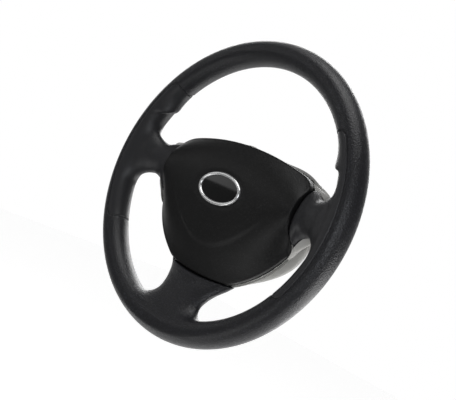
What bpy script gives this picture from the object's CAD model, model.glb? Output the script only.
import math

import bmesh
import bpy
import numpy as np
from mathutils import Matrix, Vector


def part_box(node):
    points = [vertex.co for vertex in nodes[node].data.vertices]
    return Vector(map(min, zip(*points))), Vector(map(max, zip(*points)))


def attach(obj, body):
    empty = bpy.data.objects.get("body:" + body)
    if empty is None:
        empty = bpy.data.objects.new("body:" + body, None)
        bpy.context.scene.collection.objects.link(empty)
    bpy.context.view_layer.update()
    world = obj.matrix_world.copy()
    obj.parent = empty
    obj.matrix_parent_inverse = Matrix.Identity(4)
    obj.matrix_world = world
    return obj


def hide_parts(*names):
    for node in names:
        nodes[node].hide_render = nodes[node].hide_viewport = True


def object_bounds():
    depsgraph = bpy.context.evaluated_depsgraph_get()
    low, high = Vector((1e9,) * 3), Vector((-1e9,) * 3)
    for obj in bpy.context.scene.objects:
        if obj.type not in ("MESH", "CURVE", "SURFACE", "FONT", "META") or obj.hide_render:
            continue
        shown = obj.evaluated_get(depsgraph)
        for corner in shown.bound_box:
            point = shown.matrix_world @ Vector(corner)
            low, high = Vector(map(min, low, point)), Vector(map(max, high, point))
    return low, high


# Car steering wheel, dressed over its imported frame.
# Shapes are worked out in millimetres as (x, depth, z): x to the driver's right, depth along the
# column from the rim's mid-plane, away from the driver, and z up. to_frame() turns them into metres.

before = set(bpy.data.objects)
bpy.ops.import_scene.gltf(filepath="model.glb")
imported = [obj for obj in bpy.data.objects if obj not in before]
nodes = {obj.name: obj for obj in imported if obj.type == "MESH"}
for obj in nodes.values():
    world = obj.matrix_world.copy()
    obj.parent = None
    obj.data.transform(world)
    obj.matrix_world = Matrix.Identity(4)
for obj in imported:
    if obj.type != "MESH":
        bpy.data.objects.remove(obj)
cad_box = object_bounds()

# Sizes read from the frame
MM = 0.001
core_low, core_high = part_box("rim_core")
skin_low, skin_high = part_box("rim_skin")
cover_low, cover_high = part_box("airbag_cover")
ring_low, ring_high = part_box("emblem_ring")
RIM_PLANE = (core_low.y + core_high.y) / 2
WHEEL_RADIUS = skin_high.x / MM
RIM_DEPTH_HALF = (RIM_PLANE - skin_low.y) / MM
COVER_REACH = cover_high.x / MM
COVER_FOOT = cover_low.z / MM
COVER_BACK = (cover_high.y - RIM_PLANE) / MM
EMBLEM_HALF_WIDTH = ring_high.x / MM
EMBLEM_HALF_HEIGHT = (ring_high.z - ring_low.z) / 2 / MM
EMBLEM_HEIGHT = (ring_high.z + ring_low.z) / 2 / MM
EMBLEM_FRONT = (ring_low.y - RIM_PLANE) / MM

# Rim, and the fillets where other forms flow into it
RIM_WIDTH_HALF = 15.4
RIM_RADIUS = WHEEL_RADIUS - RIM_WIDTH_HALF
RIM_FRONT_EDGE = 1.0
THUMB_FILLET = 2.0
SIDE_FILLET = 9.0
FOOT_FILLET = 12.0

# Grip outline groove, angles in degrees up from three o'clock and round the tube from its inside
GRIP_TOP = 37.5
GRIP_FOOT = -31.5
GRIP_WRAP = 90.0
GRIP_CORNER = 12.0
GROOVE_INNER_WIDTH = 0.9
GROOVE_LIP_WIDTH = 1.3
GROOVE_DEPTH = 2.3

# Thumb rests between two angles up from three o'clock; their ledge slants down towards the driver
THUMB_TOP = 40.0
THUMB_LEDGE = 25.0
THUMB_SLANT = 42.0
THUMB_BACK_SLANT = 0.3
THUMB_REACH = 7.5
THUMB_POWER = 1.5
THUMB_INSET = 1.5
THUMB_ROUND = 7.0

# Spoke sections from a start outside the cover's edge (0) to the rim's centre line (1), each with its
# share of the length, middle height, half width, front depth and back depth
SHARE, MIDDLE, HALF_WIDTH, FRONT, BACK = range(5)
SIDE_SPOKE = np.array([
    (-0.12, 1.5, 37.0, 4.0, 33.0),
    (0.00, 2.2, 35.5, 3.6, 33.0),
    (0.10, 6.1, 28.6, 2.2, 30.0),
    (0.25, 7.5, 22.0, -1.0, 26.0),
    (0.44, 7.5, 23.5, -4.5, 21.0),
    (0.60, 7.0, 31.0, -9.0, 17.0),
    (0.77, 6.0, 46.0, -11.0, 15.0),
    (1.00, 5.0, 60.0, -12.0, 13.0),
])
FOOT_SPOKE = np.array([
    (-0.10, 0.0, 55.0, 17.0, 45.0),
    (0.00, 0.0, 49.5, 15.0, 44.0),
    (0.17, 0.0, 41.0, 8.5, 38.0),
    (0.33, 0.0, 36.5, 4.0, 31.0),
    (0.50, 0.0, 36.5, -1.0, 24.0),
    (0.64, 0.0, 44.0, -5.5, 19.0),
    (0.79, 0.0, 58.0, -9.5, 16.0),
    (1.00, 0.0, 76.0, -12.0, 13.0),
])
SPOKE_START = 4.0
SPOKE_EDGE = 1.0
COVER_GAP = 1.3
FOOT_GAP = 1.8
SHELF_FRONT = 32.1

# Share of a section's depth at which it is widest: the side spokes' at the hub fades to the even one
SIDE_FULLNESS = 0.72
EVEN_FULLNESS = 0.5
FULLNESS_FADE_START = 0.1
FULLNESS_FADE_LENGTH = 0.45

# How far the side spokes' lower edges sweep back at the hub, and the share at which that has ended
SPOKE_SWEEP = 6.0
SPOKE_SWEEP_END = 0.3
SPOKE_SWEEP_LIMIT = 1.3

# Airbag cover's outline: points on the arcs of its right half, as (x, z)
COVER_ELBOW_PROUD = 3.2
COVER_HALF_WIDTH = COVER_REACH - COVER_ELBOW_PROUD
COVER_ARCH = 60.4
COVER_SHOULDER_TOP = (92.5, 48.7)
COVER_SHOULDER_ROUND = (102.0, 44.1)
COVER_SHOULDER = (109.3, 36.0)
COVER_WAIST = (109.0, 10.0)
COVER_FLARE = (108.6, -17.0)
COVER_FLARE_ROUND = (110.8, -24.6)
COVER_ELBOW = (114.9, -31.5)
COVER_SIDE = (82.5, -77.5)
COVER_FOOT_END = (50.0, -100.2)
COVER_FOOT_BOW = -104.8
COVER_CORNER_SOFTNESS = 3.4

# Airbag cover's edge, which is rolled more between its elbows and its foot
COVER_EDGE = 2.2
COVER_LOW_EDGE = 3.6
COVER_LOW_EDGE_TOP = -30.0
COVER_LOW_EDGE_FOOT = -50.0
COVER_LOW_EDGE_FADE = 15.0
COVER_WALL = 3.0
COVER_SEAM = 2.0
COVER_BACK_CHAMFER = 0.5
COVER_LEAST_SIDE = 1.0
COVER_LEAST_RECESS = 0.1

# Airbag cover's dome, which falls from a level ridge to the arch, the shoulders, the foot and the elbows
COVER_CROWN = -5.0
RIDGE_HEIGHT = 4.0
RIDGE_SOFTNESS = 3.0
SIDE_FALL = 2.5
ARCH_DROP = 16.5
SHOULDER_DROP = 8.0
SHOULDER_POWER = 8
TOP_FALL = 15.5
SHOULDER_FALL = 20.5
TOP_POWER = 2.2
SHOULDER_FALL_POWER = 1.95
FOOT_NARROWING = 0.92
FOOT_NARROWEST = 0.89
FOOT_FALL = 28.5
FOOT_POWER = 2.2
ELBOW_FALL_POWER = 1.25
FOOT_ROUNDING = 8

# Raised pad on the cover, and the dish round the emblem in shares of the emblem's size
PAD_FOOT = -69.0
PAD_HALF_WIDTH = 95.0
PAD_POWER = 1.2
PAD_STEP = 1.4
PAD_SOFTNESS = 7.0
PAD_FADE = 55.0
DISH_DEPTH = 1.2
DISH_START = 0.95
DISH_REACH = 1.32

# Emblem
EMBLEM_BAND = 4.3
BAND_RISE = 2.2
BAND_FOOT = 1.2
BADGE_TUCK = 0.3
BADGE_SET_BACK = 0.6
BADGE_BULGE = 1.5
BADGE_EDGE = 0.8

# Fineness of the skin's mesh
TINY = 1e-6
GRID_STEP = 1.8
GRID_MARGIN = 3 * GRID_STEP
GROOVE_REACH = 3.2
GROOVE_CUTS = 3
SETTLE_NUDGE = 0.15
SETTLE_LONGEST = 1.2
SETTLE_ROUNDS = 4
GROOVE_SETTLE_ROUNDS = 6

# Fineness of the cover and the emblem; the shares run from the middle (0) to the edge (1)
ARC_STEPS = 160
OUTLINE_POINTS = 1400
BLUR_REACH = 4
COVER_POINTS = 420
COVER_FACE_SHARES = np.concatenate([np.linspace(0.02, 0.9, 70), np.linspace(0.91, 1.0, 20)])
COVER_INSIDE_SHARES = np.linspace(0.97, 0.05, 24)
COVER_EDGE_ANGLES = np.linspace(0, math.pi / 2, 9)[1:]
EMBLEM_POINTS = 192
BAND_POINTS = 32
BADGE_SHARES = np.linspace(0.02, 1, 40)

# Grid on which the distance from the cover's outline is sampled; places are held just inside its end
FIELD_STEP = 1.0
FIELD_X = np.arange(-2, 140, FIELD_STEP)
FIELD_Z = np.arange(-130, 85, FIELD_STEP)
FIELD_LAST_CELL = 1.001


def to_frame(points):
    """Millimetre wheel points as metres in the frame."""
    placed = np.asarray(points, float) * MM
    placed[:, 1] += RIM_PLANE
    return placed


def add_piece(name, points, faces, body, stands_for, slot, materials, face_slots=None):
    """Make a smooth-shaded mesh piece, ride it on a body and let it stand for a node."""
    mesh = bpy.data.meshes.new(name)
    mesh.from_pydata(to_frame(points).tolist(), [], [list(face) for face in faces])
    for material in materials:
        mesh.materials.append(material)
    if face_slots is not None:
        mesh.polygons.foreach_set("material_index", np.asarray(face_slots, np.int32))
    mesh.polygons.foreach_set("use_smooth", np.ones(len(mesh.polygons), bool))
    mesh.update()
    piece = bpy.data.objects.new(name, mesh)
    bpy.context.scene.collection.objects.link(piece)
    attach(piece, body)
    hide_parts(stands_for)


def step_up(value):
    """Smooth step from 0 to 1."""
    value = np.clip(value, 0, 1)
    return value * value * (3 - 2 * value)


# Outline of the airbag cover, which the spokes' hub ends follow too

def arc_points(a, b, c, steps):
    """Points on the arc through three points, the last left out."""
    (ax, ay), (bx, by), (cx, cy) = a, b, c
    d = 2 * (ax * (by - cy) + bx * (cy - ay) + cx * (ay - by))
    a_square = ax * ax + ay * ay
    b_square = bx * bx + by * by
    c_square = cx * cx + cy * cy
    ux = (a_square * (by - cy) + b_square * (cy - ay) + c_square * (ay - by)) / d
    uy = (a_square * (cx - bx) + b_square * (ax - cx) + c_square * (bx - ax)) / d
    radius = math.hypot(ax - ux, ay - uy)
    start, via, end = (math.atan2(y - uy, x - ux) for x, y in (a, b, c))
    turn = (end - start) % math.tau
    if (via - start) % math.tau > turn:
        turn -= math.tau
    angles = start + turn * np.arange(steps) / steps
    return np.stack([ux + radius * np.cos(angles), uy + radius * np.sin(angles)], axis=1)


def even_loop(points, count):
    """The closed loop again with evenly spaced points."""
    loop = np.vstack([points, points[:1]])
    length = np.concatenate([[0], np.cumsum(np.linalg.norm(np.diff(loop, axis=0), axis=1))])
    at = length[-1] * np.arange(count) / count
    return np.stack([np.interp(at, length, loop[:, k]) for k in range(2)], axis=1)


def soft_corners(points, softness):
    """Round a dense closed loop by a blur along it."""
    spacing = np.linalg.norm(points[1] - points[0])
    reach = int(BLUR_REACH * softness / spacing)
    offsets = np.arange(-reach, reach + 1)
    weights = np.exp(-0.5 * (offsets * spacing / softness) ** 2)
    weights /= weights.sum()
    return sum(weight * np.roll(points, -offset, axis=0) for offset, weight in zip(offsets, weights))


def cover_outline(count):
    """Shield outline seen by the driver, as (x, z), anticlockwise from the foot's right end."""
    right = [
        (COVER_FOOT_END, COVER_SIDE, COVER_ELBOW),
        (COVER_ELBOW, COVER_FLARE_ROUND, COVER_FLARE),
        (COVER_FLARE, COVER_WAIST, COVER_SHOULDER),
        (COVER_SHOULDER, COVER_SHOULDER_ROUND, COVER_SHOULDER_TOP),
    ]
    left = [tuple((-x, z) for x, z in reversed(run)) for run in reversed(right)]
    over = (COVER_SHOULDER_TOP, (0, COVER_ARCH), left[0][0])
    under = (left[-1][-1], (0, COVER_FOOT_BOW), COVER_FOOT_END)
    loop = [arc_points(*run, ARC_STEPS) for run in [*right, over, *left, under]]
    dense = even_loop(np.vstack(loop), OUTLINE_POINTS)
    return even_loop(soft_corners(dense, COVER_CORNER_SOFTNESS), count)


def outline_field():
    """Distance from the cover's outline, sampled over its right half, negative inside."""
    loop = cover_outline(OUTLINE_POINTS)
    ahead = np.roll(loop, -1, axis=0) - np.roll(loop, 1, axis=0)
    outward = np.stack([ahead[:, 1], -ahead[:, 0]], axis=1)
    rows = []
    for x in FIELD_X:
        away = np.stack([np.full(len(FIELD_Z), x), FIELD_Z], axis=1)[:, None] - loop[None]
        length = np.linalg.norm(away, axis=2)
        near = length.argmin(axis=1)
        row = np.arange(len(FIELD_Z))
        side = np.sum(away[row, near] * outward[near], axis=1)
        rows.append(np.copysign(length[row, near], side))
    return np.array(rows)


OUTLINE_FIELD = outline_field()


def from_outline(x, z):
    """Distance from the cover's outline at points seen by the driver."""
    u = np.clip((np.abs(x) - FIELD_X[0]) / FIELD_STEP, 0, len(FIELD_X) - FIELD_LAST_CELL)
    v = np.clip((z - FIELD_Z[0]) / FIELD_STEP, 0, len(FIELD_Z) - FIELD_LAST_CELL)
    i, k = u.astype(int), v.astype(int)
    u, v = u - i, v - k
    low = OUTLINE_FIELD[i, k] * (1 - u) + OUTLINE_FIELD[i + 1, k] * u
    high = OUTLINE_FIELD[i, k + 1] * (1 - u) + OUTLINE_FIELD[i + 1, k + 1] * u
    return low * (1 - v) + high * v


# Distance fields for the moulded skin

def smooth_union(a, b, reach):
    """Union of two distances with a fillet of about that reach."""
    share = np.clip(0.5 + 0.5 * (b - a) / reach, 0, 1)
    return b * (1 - share) + a * share - reach * share * (1 - share)


def smooth_cut(a, b, reach):
    """Intersection of two distances with a rounded edge."""
    return -smooth_union(-a, -b, reach)


def oval_distance(u, v, half_u, half_v):
    """Distance to an ellipse, near its edge."""
    u = np.abs(u) / half_u + TINY
    v = np.abs(v) / half_v + TINY
    size = np.sqrt(u ** 2 + v ** 2)
    slope_u = u / size / half_u
    slope_v = v / size / half_v
    return (size - 1) / np.hypot(slope_u, slope_v)


def along_table(share, table, column):
    """Smooth value of a spoke table's column at a share of the spoke's length."""
    keys = table[:, SHARE]
    values = table[:, column]
    slopes = np.gradient(values, keys)
    share = np.clip(share, keys[0], keys[-1])
    i = np.clip(np.searchsorted(keys, share, side="right") - 1, 0, len(keys) - 2)
    span = keys[i + 1] - keys[i]
    t = (share - keys[i]) / span
    start = values[i] * (1 + 2 * t) * (1 - t) ** 2 + slopes[i] * span * t * (1 - t) ** 2
    end = values[i + 1] * t * t * (3 - 2 * t) + slopes[i + 1] * span * t * t * (t - 1)
    return start + end


def spoke_section(reach, across, depth, table, start, hub_fullness):
    """Distance to the oval sections of a spoke that runs outwards along reach."""
    share = (reach - start) / (RIM_RADIUS - start)
    fade = step_up((share - FULLNESS_FADE_START) / FULLNESS_FADE_LENGTH)
    fullness = hub_fullness + (EVEN_FULLNESS - hub_fullness) * fade
    front = along_table(share, table, FRONT)
    back = along_table(share, table, BACK)
    middle = along_table(share, table, MIDDLE)
    half_width = along_table(share, table, HALF_WIDTH)
    half_depth = (back - front) * fullness
    oval = oval_distance(across - middle, depth - front - half_depth, half_width, half_depth)
    return smooth_cut(oval, depth - back, SPOKE_EDGE)


def side_spokes(x, depth, z):
    """Distance to the side spokes, their hub ends shaped to the cover's edge."""
    start = COVER_HALF_WIDTH + SPOKE_START
    share = (np.abs(x) - start) / (RIM_RADIUS - start)
    below = along_table(share, SIDE_SPOKE, MIDDLE) - z
    low = np.clip(below / along_table(share, SIDE_SPOKE, HALF_WIDTH), 0, SPOKE_SWEEP_LIMIT)
    swept = depth - SPOKE_SWEEP * low ** 2 * (1 - step_up(share / SPOKE_SWEEP_END))
    section = spoke_section(np.abs(x), z, swept, SIDE_SPOKE, start, SIDE_FULLNESS)
    return smooth_cut(section, COVER_GAP - from_outline(x, z), SPOKE_EDGE)


def foot_spoke(x, depth, z):
    """Distance to the bottom spoke, with a shelf that runs on behind the cover."""
    start = SPOKE_START - COVER_FOOT
    shelf_end = start + FOOT_SPOKE[0, SHARE] * (RIM_RADIUS - start)
    section = spoke_section(-z, x, depth, FOOT_SPOKE, start, EVEN_FULLNESS)
    room = np.maximum(from_outline(x, z) - FOOT_GAP, depth - SHELF_FRONT)
    return smooth_cut(np.maximum(section, shelf_end + z), -room, SPOKE_EDGE)


def rim_angles(x, depth, z):
    """Angle up from three o'clock on the nearer side, and angle round the tube from its inside."""
    ring = np.hypot(x, z) - RIM_RADIUS
    turn = np.arctan2(z, np.abs(x))
    wrap = np.pi - np.abs(np.arctan2(depth / RIM_DEPTH_HALF, ring / RIM_WIDTH_HALF))
    return turn, wrap


def grip_distance(x, depth, z):
    """Distance over the skin from the outline of a grip area, negative inside it."""
    turn, wrap = rim_angles(x, depth, z)
    middle = math.radians((GRIP_TOP + GRIP_FOOT) / 2)
    half_u = math.radians((GRIP_TOP - GRIP_FOOT) / 2) * RIM_RADIUS
    tube = (RIM_WIDTH_HALF + RIM_DEPTH_HALF) / 2
    half_v = math.radians(GRIP_WRAP) * tube
    past_u = np.abs(turn - middle) * RIM_RADIUS - half_u + GRIP_CORNER
    past_v = wrap * tube - half_v + GRIP_CORNER
    outside = np.hypot(np.maximum(past_u, 0), np.maximum(past_v, 0))
    return outside + np.minimum(np.maximum(past_u, past_v), 0) - GRIP_CORNER


def thumb_rests(x, depth, z):
    """Distance to the swellings inside the rim above the side spokes."""
    turn = np.arctan2(z, np.abs(x))
    slant = math.radians(THUMB_SLANT)
    level = turn * RIM_RADIUS - np.where(depth < 0, 1, THUMB_BACK_SLANT) * depth * math.tan(slant)
    top = math.radians(THUMB_TOP) * RIM_RADIUS
    ledge = math.radians(THUMB_LEDGE) * RIM_RADIUS
    share = np.clip((top - level) / (top - ledge), 0, 1)
    reach = THUMB_REACH * share ** THUMB_POWER - (1 - share)
    ring = np.hypot(x, z) - RIM_RADIUS + reach / 2
    swell = oval_distance(ring, depth, RIM_WIDTH_HALF + reach / 2, RIM_DEPTH_HALF - THUMB_INSET)
    return smooth_cut(swell, (ledge - level) * math.cos(slant), THUMB_ROUND)


def smooth_skin(points):
    """Distance to the moulded skin of rim and spokes without its grooves."""
    x, depth, z = points[..., 0], points[..., 1], points[..., 2]
    ring = np.hypot(x, z) - RIM_RADIUS
    body = oval_distance(ring, depth, RIM_WIDTH_HALF, RIM_DEPTH_HALF)
    for form, fillet in ((thumb_rests, THUMB_FILLET), (side_spokes, SIDE_FILLET), (foot_spoke, FOOT_FILLET)):
        body = smooth_union(body, np.maximum(form(x, depth, z), ring), fillet)
    return smooth_cut(body, -RIM_DEPTH_HALF - depth, RIM_FRONT_EDGE)


def grooved_skin(points):
    """Distance to the moulded skin with the grooves round its grip areas."""
    line = grip_distance(points[..., 0], points[..., 1], points[..., 2])
    line = line / np.where(line < 0, GROOVE_INNER_WIDTH, GROOVE_LIP_WIDTH)
    return smooth_skin(points) + GROOVE_DEPTH * np.exp(-line ** 2)


# Mesh of the moulded skin

def surface_net(values, origin, step):
    """Quads where a sampled distance changes sign, one point in each crossed cell."""
    inside = values < 0
    cells = np.zeros(tuple(n - 1 for n in values.shape), int)
    for corner in np.ndindex(2, 2, 2):
        cells += inside[tuple(slice(c, n - 1 + c) for c, n in zip(corner, values.shape))]
    active = (cells > 0) & (cells < 8)
    base = np.argwhere(active)
    number = np.full(cells.shape, -1)
    number[active] = np.arange(len(base))
    total = np.zeros((len(base), 3))
    count = np.zeros(len(base))
    unit = np.eye(3, dtype=int)
    quads = []
    for axis in range(3):
        u, v = (axis + 1) % 3, (axis + 2) % 3
        for a, b in np.ndindex(2, 2):
            low = base + a * unit[u] + b * unit[v]
            start = values[tuple(low.T)]
            end = values[tuple((low + unit[axis]).T)]
            crossed = (start < 0) != (end < 0)
            share = start[crossed] / (start[crossed] - end[crossed])
            total[crossed] += low[crossed] + share[:, None] * unit[axis]
            count[crossed] += 1
        changed = inside != np.roll(inside, -1, axis=axis)
        edge_slice = [slice(1, n - 1) for n in values.shape]
        edge_slice[axis] = slice(0, values.shape[axis] - 1)
        mask = np.zeros_like(changed)
        mask[tuple(edge_slice)] = changed[tuple(edge_slice)]
        at = np.argwhere(mask)
        ring = [at - unit[u] - unit[v], at - unit[v], at, at - unit[u]]
        faces = np.stack([number[tuple(cell.T)] for cell in ring], axis=1)
        outward = inside[tuple(at.T)]
        faces[~outward] = faces[~outward][:, ::-1]
        quads.append(faces)
    points = origin + step * total / count[:, None]
    return points, np.concatenate(quads)


def settle(points, field, rounds):
    """Move points onto the zero of a distance field."""
    for _ in range(rounds):
        distance = field(points)
        slope = np.zeros_like(points)
        for axis in range(3):
            step = np.zeros(3)
            step[axis] = SETTLE_NUDGE
            slope[:, axis] = (field(points + step) - field(points - step)) / (2 * SETTLE_NUDGE)
        move = distance[:, None] * slope / (np.sum(slope ** 2, axis=1)[:, None] + TINY)
        length = np.linalg.norm(move, axis=1)[:, None]
        points = points - move * np.minimum(1, SETTLE_LONGEST / np.maximum(length, TINY))
    return points


def refine(points, faces, near, cuts):
    """Divide the faces that have a marked point."""
    mesh = bmesh.new()
    verts = [mesh.verts.new(point) for point in points]
    for face in faces:
        mesh.faces.new([verts[i] for i in face])
    mesh.verts.index_update()
    marked = [face for face in mesh.faces if any(near[v.index] for v in face.verts)]
    edges = {edge for face in marked for edge in face.edges}
    bmesh.ops.subdivide_edges(mesh, edges=list(edges), cuts=cuts, use_grid_fill=True)
    mesh.verts.index_update()
    new_points = np.array([v.co[:] for v in mesh.verts])
    new_faces = [[v.index for v in face.verts] for face in mesh.faces]
    mesh.free()
    return new_points, new_faces


def moulded_skin():
    """Mesh of the rim and spokes skin, and which faces lie in a grip area."""
    half = np.arange(0, WHEEL_RADIUS + GRID_MARGIN, GRID_STEP)
    wide = np.concatenate([-half[:0:-1], half])
    deep = np.arange(-RIM_DEPTH_HALF - GRID_MARGIN, FOOT_SPOKE[:, BACK].max() + GRID_MARGIN, GRID_STEP)
    grid = np.stack(np.meshgrid(half, deep, wide, indexing="ij"), axis=-1)
    sampled = smooth_skin(grid)
    whole = np.concatenate([sampled[:0:-1], sampled])
    points, faces = surface_net(whole, np.array([wide[0], deep[0], wide[0]]), GRID_STEP)
    points = settle(points, smooth_skin, SETTLE_ROUNDS)
    near = np.abs(grip_distance(*points.T)) < GROOVE_REACH
    points, faces = refine(points, faces, near, GROOVE_CUTS)
    points = settle(points, grooved_skin, GROOVE_SETTLE_ROUNDS)
    middles = np.array([points[face].mean(axis=0) for face in faces])
    return points, faces, (grip_distance(*middles.T) < 0).astype(int)


# Airbag cover

def crown_depth(x, z):
    """Depth of the cover's domed face."""
    bow = np.minimum((x / COVER_HALF_WIDTH) ** 2, 1)
    rise = z - RIDGE_HEIGHT
    up = COVER_ARCH - RIDGE_HEIGHT - ARCH_DROP * bow - SHOULDER_DROP * bow ** SHOULDER_POWER
    top_fall = TOP_FALL + (SHOULDER_FALL - TOP_FALL) * bow
    top_power = TOP_POWER + (SHOULDER_FALL_POWER - TOP_POWER) * bow
    top = top_fall * (np.maximum(rise, 0) / up) ** top_power
    down = (RIDGE_HEIGHT - COVER_FOOT) * np.sqrt(1 - np.minimum(FOOT_NARROWING * bow, FOOT_NARROWEST))
    share = (np.hypot(rise, RIDGE_SOFTNESS) - RIDGE_SOFTNESS) / down
    share = share / (1 + share ** FOOT_ROUNDING) ** (1 / FOOT_ROUNDING)
    foot_power = FOOT_POWER + (ELBOW_FALL_POWER - FOOT_POWER) * bow ** 2
    return COVER_CROWN + SIDE_FALL * bow + np.where(rise > 0, top, FOOT_FALL * share ** foot_power)


def face_depth(x, z):
    """Depth of the cover's face with its raised pad and the dish round the emblem."""
    pad_edge = PAD_FOOT * np.clip(1 - (x / PAD_HALF_WIDTH) ** 2, 0, 1) ** PAD_POWER
    below_pad = step_up((pad_edge - z) / PAD_SOFTNESS + 0.5)
    drop = PAD_STEP * below_pad * step_up((PAD_HALF_WIDTH - np.abs(x)) / PAD_FADE)
    oval = np.hypot(x / EMBLEM_HALF_WIDTH, (z - EMBLEM_HEIGHT) / EMBLEM_HALF_HEIGHT)
    dish = DISH_DEPTH * (1 - step_up((oval - DISH_START) / (DISH_REACH - DISH_START)))
    return crown_depth(x, z) + drop + dish


def inset_loop(loop, distance):
    """The loop moved inwards along its normals."""
    ahead = np.roll(loop, -1, axis=0) - np.roll(loop, 1, axis=0)
    normal = np.stack([-ahead[:, 1], ahead[:, 0]], axis=1)
    normal /= np.linalg.norm(normal, axis=1)[:, None]
    return loop + normal * distance


def with_depth(loop, depth):
    """Points of a loop of (x, z) at a depth or at a depth each."""
    return np.stack([loop[:, 0], np.broadcast_to(depth, len(loop)), loop[:, 1]], axis=1)


def ring_mesh(rings):
    """Faces between successive loops of points, the first and last loop closed to a point."""
    count = len(rings[0])
    points = np.vstack([*rings, rings[0].mean(axis=0), rings[-1].mean(axis=0)])
    first, last = len(points) - 2, len(points) - 1
    base = (len(rings) - 1) * count
    faces = []
    for r in range(len(rings) - 1):
        for i in range(count):
            k = (i + 1) % count
            faces.append((r * count + i, r * count + k, (r + 1) * count + k, (r + 1) * count + i))
    for i in range(count):
        k = (i + 1) % count
        faces.append((k, i, first))
        faces.append((base + i, base + k, last))
    return points, faces


def cover_mesh():
    """Closed shell of the airbag cover, from the middle of its face round the edge to the inside."""
    outline = cover_outline(COVER_POINTS)
    centre = np.array([0, EMBLEM_HEIGHT])
    low = step_up((COVER_LOW_EDGE_TOP - outline[:, 1:]) / (COVER_LOW_EDGE_TOP - COVER_LOW_EDGE_FOOT))
    low = low * step_up((np.abs(outline[:, :1]) - COVER_FOOT_END[0]) / COVER_LOW_EDGE_FADE)
    edge = COVER_EDGE + (COVER_LOW_EDGE - COVER_EDGE) * low
    back = COVER_BACK - COVER_SEAM
    inner = inset_loop(outline, edge)
    rings = []
    for share in COVER_FACE_SHARES:
        loop = centre + share * (inner - centre)
        rings.append(with_depth(loop, face_depth(*loop.T)))
    edge_depth = face_depth(*inner.T)
    for angle in COVER_EDGE_ANGLES:
        loop = inset_loop(outline, edge * (1 - math.sin(angle)))
        slump = (face_depth(*loop.T) - edge_depth) * (1 - math.sin(angle)) ** 2
        roll = edge[:, 0] * (1 - math.cos(angle))
        rings.append(with_depth(loop, np.minimum(edge_depth + slump + roll, back - COVER_LEAST_SIDE)))
    rings.append(with_depth(outline, back - COVER_BACK_CHAMFER))
    rings.append(with_depth(inset_loop(outline, COVER_BACK_CHAMFER), back))
    rim = inset_loop(outline, COVER_WALL)
    rings.append(with_depth(rim, back))
    for share in COVER_INSIDE_SHARES:
        loop = centre + share * (rim - centre)
        ceiling = face_depth(*loop.T) + COVER_WALL
        rings.append(with_depth(loop, np.minimum(ceiling, back - COVER_LEAST_RECESS)))
    return ring_mesh(rings)


# Emblem

def oval_loop(half_width, half_height):
    """Points of an oval round the emblem's middle, as (x, z)."""
    angles = math.tau * np.arange(EMBLEM_POINTS) / EMBLEM_POINTS
    return np.stack([half_width * np.cos(angles), EMBLEM_HEIGHT + half_height * np.sin(angles)], axis=1)


def emblem_ring_mesh():
    """Half-round oval band with a small foot into the cover."""
    half = EMBLEM_BAND / 2
    rings = []
    for angle in math.tau * np.arange(BAND_POINTS) / BAND_POINTS:
        inset = half - half * math.cos(angle)
        lift = math.sin(angle)
        rise = BAND_RISE * max(0.0, lift) + BAND_FOOT * min(0.0, lift)
        loop = oval_loop(EMBLEM_HALF_WIDTH - inset, EMBLEM_HALF_HEIGHT - inset)
        rings.append(with_depth(loop, EMBLEM_FRONT + BAND_RISE - rise))
    count = EMBLEM_POINTS
    faces = []
    for r in range(BAND_POINTS):
        n = (r + 1) % BAND_POINTS
        for i in range(count):
            k = (i + 1) % count
            faces.append((r * count + i, n * count + i, n * count + k, r * count + k))
    return np.vstack(rings), faces


def emblem_badge_mesh():
    """Bare domed oval with a soft edge."""
    half_width = EMBLEM_HALF_WIDTH - EMBLEM_BAND + BADGE_TUCK
    half_height = EMBLEM_HALF_HEIGHT - EMBLEM_BAND + BADGE_TUCK
    front = EMBLEM_FRONT + BADGE_SET_BACK
    rings = []
    for share in BADGE_SHARES:
        loop = oval_loop(half_width * share, half_height * share)
        rings.append(with_depth(loop, front + BADGE_BULGE * share ** 2))
    rings.append(with_depth(oval_loop(half_width, half_height), front + BADGE_BULGE + BADGE_EDGE))
    return ring_mesh(rings)


# Materials, with the scales and strengths of their grain, gloss and specks

PORES_PER_CELL = 0.9
PORE_RELIEF = 0.6
GRAIN_STRENGTH = 0.7
DRIFT_SCALE = 22
GLOSS_SWING = 0.2
SPARKLE_SWING = 0.25
SPECK_RANGE = (0.56, 0.74)
HAZE_SCALE = 300
HAZE_RANGE = (0.7, 1.4)


def node_material(name, colour, roughness, metallic=0.0):
    """Material with a principled shader; returns it with its node tree and shader."""
    material = bpy.data.materials.new(name)
    material.use_nodes = True
    tree = material.node_tree
    shader = tree.nodes["Principled BSDF"]
    shader.inputs["Base Color"].default_value = (*colour, 1)
    shader.inputs["Roughness"].default_value = roughness
    shader.inputs["Metallic"].default_value = metallic
    return material, tree, shader


def texture(tree, kind, scale):
    """Texture node over the object's own coordinates, scale in cells a metre."""
    place = tree.nodes.new("ShaderNodeTexCoord")
    pattern = tree.nodes.new(kind)
    pattern.inputs["Scale"].default_value = scale
    tree.links.new(place.outputs["Object"], pattern.inputs["Vector"])
    return pattern


def noise(tree, scale, detail):
    """Socket of a noise over the object's own coordinates."""
    pattern = texture(tree, "ShaderNodeTexNoise", scale)
    pattern.inputs["Detail"].default_value = detail
    return pattern.outputs["Fac"]


def multiply_add(tree, value, factor, added):
    """Socket of a socket's value times a factor plus another socket's."""
    both = tree.nodes.new("ShaderNodeMath")
    both.operation = "MULTIPLY_ADD"
    both.inputs[1].default_value = factor
    tree.links.new(value, both.inputs[0])
    tree.links.new(added, both.inputs[2])
    return both.outputs[0]


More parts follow.
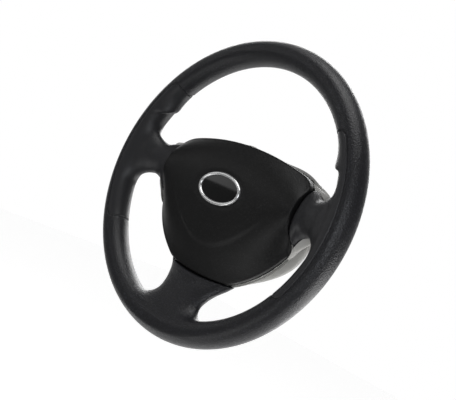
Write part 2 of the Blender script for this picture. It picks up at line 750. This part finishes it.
def map_range(tree, value, source, target, smooth=False):
    """Socket of a value carried from one range, as (low, high), to another."""
    mapping = tree.nodes.new("ShaderNodeMapRange")
    if smooth:
        mapping.interpolation_type = "SMOOTHSTEP"
    mapping.inputs["From Min"].default_value, mapping.inputs["From Max"].default_value = source
    mapping.inputs["To Min"].default_value, mapping.inputs["To Max"].default_value = target
    tree.links.new(value, mapping.inputs["Value"])
    return mapping.outputs["Result"]


def grained(name, colour, roughness, cell, depth, specular=0.5, speckle=1.5, sparkle=0.0, metallic=0.0):
    """Moulded or cast surface: cell-like grain as bump, uneven gloss and sparse paler specks.

    cell and depth are the grain's size and relief in millimetres, speckle is how many times paler the
    specks are, and sparkle is how much the pores vary the gloss.
    """
    material, tree, shader = node_material(name, colour, roughness, metallic)
    shader.inputs["Specular IOR Level"].default_value = specular
    link = tree.links.new
    cells = texture(tree, "ShaderNodeTexVoronoi", 1 / (cell * MM))
    pores = noise(tree, PORES_PER_CELL / (cell * MM), detail=3)
    bump = tree.nodes.new("ShaderNodeBump")
    bump.inputs["Strength"].default_value = GRAIN_STRENGTH
    bump.inputs["Distance"].default_value = depth * MM
    link(multiply_add(tree, pores, PORE_RELIEF, cells.outputs["Distance"]), bump.inputs["Height"])
    link(bump.outputs["Normal"], shader.inputs["Normal"])
    wear = multiply_add(tree, pores, sparkle, noise(tree, DRIFT_SCALE, detail=4))
    swing = GLOSS_SWING + SPARKLE_SWING * sparkle
    gloss = map_range(tree, wear, (0, 1 + sparkle), (roughness * (1 + swing), roughness * (1 - swing)))
    link(gloss, shader.inputs["Roughness"])
    tint = tree.nodes.new("ShaderNodeMix")
    tint.data_type = "RGBA"
    tint.inputs["A"].default_value = (*colour, 1)
    tint.inputs["B"].default_value = (*(c * speckle for c in colour), 1)
    link(map_range(tree, pores, SPECK_RANGE, (0, 1)), tint.inputs["Factor"])
    link(tint.outputs["Result"], shader.inputs["Base Color"])
    return material


def brushed(name, colour, roughness, metallic=1.0):
    """Metal with fine uneven gloss."""
    material, tree, shader = node_material(name, colour, roughness, metallic)
    haze = noise(tree, HAZE_SCALE, detail=5)
    gloss = map_range(tree, haze, (0, 1), [roughness * share for share in HAZE_RANGE])
    tree.links.new(gloss, shader.inputs["Roughness"])
    return material


rim_leather = grained(
    "rim_grain", (0.0066, 0.0067, 0.0082), 0.38, cell=1.5, depth=0.4, specular=0.42, speckle=4.0, sparkle=2.0
)
grip_leather = grained(
    "grip_grain", (0.0128, 0.0128, 0.0142), 0.40, cell=0.9, depth=0.12, specular=0.4, speckle=1.8
)
cover_plastic = grained(
    "cover_grain", (0.0045, 0.0045, 0.0046), 0.46, cell=1.1, depth=0.14, specular=0.27, speckle=4.0
)
rear_plastic = grained("rear_grain", (0.29, 0.286, 0.272), 0.5, cell=0.9, depth=0.06, speckle=1.2)
chrome = brushed("emblem_chrome", (0.88, 0.88, 0.88), 0.22, metallic=0.85)
badge_black = grained("badge_black", (0.003, 0.003, 0.003), 0.12, cell=4.0, depth=0.002)
casting = grained("cast_alloy", (0.42, 0.43, 0.44), 0.45, cell=0.9, depth=0.08, metallic=1.0)
steel = brushed("zinc_steel", (0.55, 0.55, 0.53), 0.3)
nylon = grained("bush_nylon", (0.55, 0.53, 0.46), 0.4, cell=0.6, depth=0.02)
cloth = grained("cushion_cloth", (0.5, 0.5, 0.48), 0.8, cell=0.5, depth=0.15)
contact_brass = brushed("contact_brass", (0.75, 0.55, 0.25), 0.22)

# Pieces that stay as the frame has them get a finish each; most of them are steel
node_finishes = {
    "rear_cover": rear_plastic,
    "armature": casting,
    "cushion_pack": cloth,
    "horn_contact": contact_brass,
}
for name, node in nodes.items():
    if name.startswith("guide_bush"):
        finish = nylon
    else:
        finish = node_finishes.get(name, steel)
    node.data.materials.clear()
    node.data.materials.append(finish)

# Pieces
skin_points, skin_faces, in_grip = moulded_skin()
skin_finishes = [rim_leather, grip_leather]
add_piece("moulded_skin", skin_points, skin_faces, "wheel", "rim_skin", "skin", skin_finishes, in_grip)
add_piece("cover_shell", *cover_mesh(), "airbag_module", "airbag_cover", "cover", [cover_plastic])
add_piece("emblem_band", *emblem_ring_mesh(), "airbag_module", "emblem_ring", "chrome", [chrome])
add_piece("emblem_dome", *emblem_badge_mesh(), "airbag_module", "emblem_badge", "badge", [badge_black])

# Floor, backdrop, light and camera, in metres; the lamps and the camera are placed from the rim's middle
scene = bpy.context.scene
scene.view_settings.view_transform = "Standard"

FLOOR_DROP = 0.45
FLOOR_SIDE = 5.0
FLOOR_FRONT = 0.1
FLOOR_COLOUR = (0.8, 0.8, 0.8)
FLOOR_ROUGHNESS = 0.8
FLOOR_GLOW = 0.5
FLOOR_GLOSS = 0.1
WHITE = (1, 1, 1, 1)
SKY_LEVEL = 0.6
SKY_FRONT_GLOSS = 0.13
BACKDROP_SIDE = (-0.67, 0.74, 0.0)
BACKDROP_RANGE = (0.3, 0.95)
CAMERA_PLACE = (0.5979, -0.6372, -0.0512)
CAMERA_RIGHT = (0.6832, 0.5964, 0.4213)
CAMERA_DOWN = (0.2828, 0.3158, -0.9057)
CAMERA_FORWARD = (-0.6732, 0.7379, 0.0471)
FOCAL_PIXELS = 738.7
IMAGE_WIDTH = 456


def area_light(name, place, size, power, colour=(1, 1, 1)):
    """Soft rectangular light at a place from the rim's middle, aimed at it."""
    lamp = bpy.data.lights.new(name, "AREA")
    lamp.color = colour
    lamp.shape = "RECTANGLE"
    lamp.size, lamp.size_y = size
    lamp.energy = power
    holder = bpy.data.objects.new(name, lamp)
    scene.collection.objects.link(holder)
    back = np.array(place) / np.linalg.norm(place)
    side = np.cross((0, 0, 1), back)
    side /= np.linalg.norm(side)
    turn = Matrix((side, np.cross(back, side), back)).transposed().to_4x4()
    turn.translation = (place[0], place[1] + RIM_PLANE, place[2])
    holder.matrix_world = turn


def either_ray(tree, *kinds):
    """Socket that is 1 on any of these kinds of ray."""
    path = tree.nodes.new("ShaderNodeLightPath")
    socket = path.outputs[kinds[0]]
    for kind in kinds[1:]:
        either = tree.nodes.new("ShaderNodeMath")
        either.operation = "MAXIMUM"
        tree.links.new(socket, either.inputs[0])
        tree.links.new(path.outputs[kind], either.inputs[1])
        socket = either.outputs[0]
    return socket


def choose(tree, factor, no, yes):
    """Number socket that is no where the factor is 0 and yes where it is 1; each a number or a socket."""
    mix = tree.nodes.new("ShaderNodeMix")
    tree.links.new(factor, mix.inputs["Factor"])
    for name, value in (("A", no), ("B", yes)):
        if isinstance(value, float):
            mix.inputs[name].default_value = value
        else:
            tree.links.new(value, mix.inputs[name])
    return mix.outputs["Result"]


# The sky is white to the camera and, behind the wheel, to reflections; in front it is a dim room
world = bpy.data.worlds.new("studio")
scene.world = world
world.use_nodes = True
sky = world.node_tree
direction = sky.nodes.new("ShaderNodeTexCoord")
towards = sky.nodes.new("ShaderNodeVectorMath")
towards.operation = "DOT_PRODUCT"
towards.inputs[1].default_value = BACKDROP_SIDE
sky.links.new(direction.outputs["Generated"], towards.inputs[0])
backdrop = map_range(sky, towards.outputs["Value"], BACKDROP_RANGE, (SKY_FRONT_GLOSS, 1.0), smooth=True)
mirrored = either_ray(sky, "Is Glossy Ray", "Is Transmission Ray")
reflected = choose(sky, mirrored, SKY_LEVEL, backdrop)
level = choose(sky, either_ray(sky, "Is Camera Ray"), reflected, 1.0)
sky.nodes["Background"].inputs["Color"].default_value = WHITE
sky.links.new(level, sky.nodes["Background"].inputs["Strength"])

# Lamps by place, size and power
area_light("top_soft", (0.1, -0.35, 1.35), (1.2, 0.9), 11)
area_light("front_high", (-0.9, -0.95, 0.42), (0.8, 0.45), 1.0)
area_light("front_low", (-0.05, -1.0, -0.85), (0.7, 0.7), 2.2)
area_light("front_under", (-0.3, -0.5, -0.9), (0.4, 0.4), 0.7)
area_light("side_soft", (0.95, -0.85, 0.0), (0.6, 0.6), 3.6, (0.92, 0.95, 1.0))
area_light("side_low", (0.7, 0.4, -0.5), (0.6, 0.6), 4.4)
area_light("back_low", (0.15, 1.0, -0.55), (0.8, 0.6), 4)
area_light("back_high", (-0.65, 0.9, 0.55), (1.2, 0.8), 13)

camera_data = bpy.data.cameras.new("camera")
camera_data.sensor_width = 36.0
camera_data.sensor_fit = "HORIZONTAL"
camera_data.lens = FOCAL_PIXELS / IMAGE_WIDTH * camera_data.sensor_width
camera_data.clip_start = 0.01
camera_data.clip_end = 50
camera = bpy.data.objects.new("camera", camera_data)
scene.collection.objects.link(camera)
camera_axes = (CAMERA_RIGHT, tuple(-c for c in CAMERA_DOWN), tuple(-c for c in CAMERA_FORWARD))
pose = Matrix(camera_axes).transposed().to_4x4()
pose.translation = (CAMERA_PLACE[0], CAMERA_PLACE[1] + RIM_PLANE, CAMERA_PLACE[2])
camera.matrix_world = pose
scene.camera = camera

# The pale floor takes the wheel's shadow; it is lifted to white for the camera and is dim in reflections
floor_level = cad_box[0].z - FLOOR_DROP
floor_front = RIM_PLANE - FLOOR_FRONT
floor_corners = [
    (-FLOOR_SIDE, floor_front, floor_level),
    (FLOOR_SIDE, floor_front, floor_level),
    (FLOOR_SIDE, FLOOR_SIDE, floor_level),
    (-FLOOR_SIDE, FLOOR_SIDE, floor_level),
]
floor_mesh = bpy.data.meshes.new("floor")
floor_mesh.from_pydata(floor_corners, [], [(0, 1, 2, 3)])
floor = bpy.data.objects.new("floor", floor_mesh)
scene.collection.objects.link(floor)
floor_finish, floor_tree, floor_shader = node_material("floor", FLOOR_COLOUR, FLOOR_ROUGHNESS)
floor_shader.inputs["Emission Color"].default_value = WHITE
mirrored = either_ray(floor_tree, "Is Glossy Ray", "Is Transmission Ray")
unseen = choose(floor_tree, mirrored, 0.0, FLOOR_GLOSS)
glow = choose(floor_tree, either_ray(floor_tree, "Is Camera Ray"), unseen, FLOOR_GLOW)
floor_tree.links.new(glow, floor_shader.inputs["Emission Strength"])
floor_mesh.materials.append(floor_finish)
